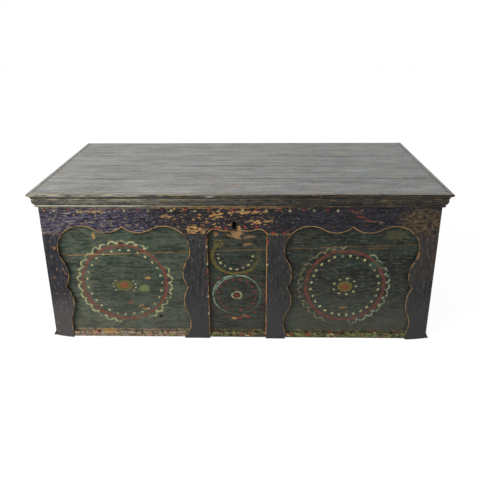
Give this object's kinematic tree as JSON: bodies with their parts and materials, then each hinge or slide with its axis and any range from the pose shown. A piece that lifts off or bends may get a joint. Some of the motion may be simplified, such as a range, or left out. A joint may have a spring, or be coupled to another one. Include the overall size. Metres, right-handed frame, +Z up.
{
  "type": "wooden trunk",
  "caption": "Low painted pine chest with a hinged moulded lid, a scalloped frame over its boarded front, strap hinges and a box lock.",
  "frame": {"origin": "on the floor under the middle of the whole chest", "axes": "+X along the chest to the viewer's right, +Y from the front to the hinged back, +Z up"},
  "size_m": [1.2, 0.6614, 0.48],
  "materials": {
    "frame_paint": "worn satin paint",
    "panel_paint": "worn satin paint",
    "strip_paint": "dabbed worn paint",
    "lid_paint": "worn satin paint",
    "case_paint": "worn satin paint",
    "bare_pine": "aged, unpainted",
    "forged_iron": "forged, rusted"
  },
  "bodies": {
    "chest": {"top_rail": "frame_paint", "left_stile": "frame_paint", "middle_left_stile": "frame_paint", "middle_right_stile": "frame_paint", "right_stile": "frame_paint", "front_board_lower": "panel_paint", "front_board_upper": "panel_paint", "left_foot_strip": "strip_paint", "centre_foot_strip": "strip_paint", "right_foot_strip": "strip_paint", "left_end_board_lower": "case_paint", "left_end_board_upper": "case_paint", "right_end_board_lower": "case_paint", "right_end_board_upper": "case_paint", "back_board_lower": "case_paint", "back_board_upper": "case_paint", "left_base_strip": "case_paint", "right_base_strip": "case_paint", "bottom_board_front": "bare_pine", "bottom_board_middle": "bare_pine", "bottom_board_back": "bare_pine", "left_hinge_leaf": "forged_iron", "right_hinge_leaf": "forged_iron", "left_hinge_pin": "forged_iron", "right_hinge_pin": "forged_iron", "lock_plate": "forged_iron", "lock_case": "forged_iron", "bolt_spring": "forged_iron", "key_post": "forged_iron", "left_bolt_guide": "forged_iron", "right_bolt_guide": "forged_iron", "frame_nails": "forged_iron", "bottom_nails": "forged_iron", "left_base_strip_nails": "forged_iron", "right_base_strip_nails": "forged_iron", "hinge_leaf_nails": "forged_iron", "lock_nails": "forged_iron"},
    "lid": {"lid_board_front": "lid_paint", "lid_board_second": "lid_paint", "lid_board_third": "lid_paint", "lid_board_back": "lid_paint", "lid_moulding_front": "lid_paint", "lid_moulding_left": "lid_paint", "lid_moulding_right": "lid_paint", "lid_batten_left": "bare_pine", "lid_batten_right": "bare_pine", "left_hinge_strap": "forged_iron", "right_hinge_strap": "forged_iron", "lock_staple": "forged_iron", "moulding_sprigs": "forged_iron", "hinge_strap_nails": "forged_iron", "staple_nails": "forged_iron", "batten_nails": "forged_iron"},
    "bolt": {"lock_bolt": "forged_iron"}
  },
  "joints": [
    {"name": "lid_hinge", "type": "hinge", "parent": "chest", "child": "lid", "pos_m": [0, 0.32425, 0.4495], "axis": [-1, 0, 0], "range_deg": [0, 105]},
    {"name": "bolt_throw", "type": "slide", "parent": "chest", "child": "bolt", "axis": [1, 0, 0], "range_m": [0, 0.018]}
  ]
}
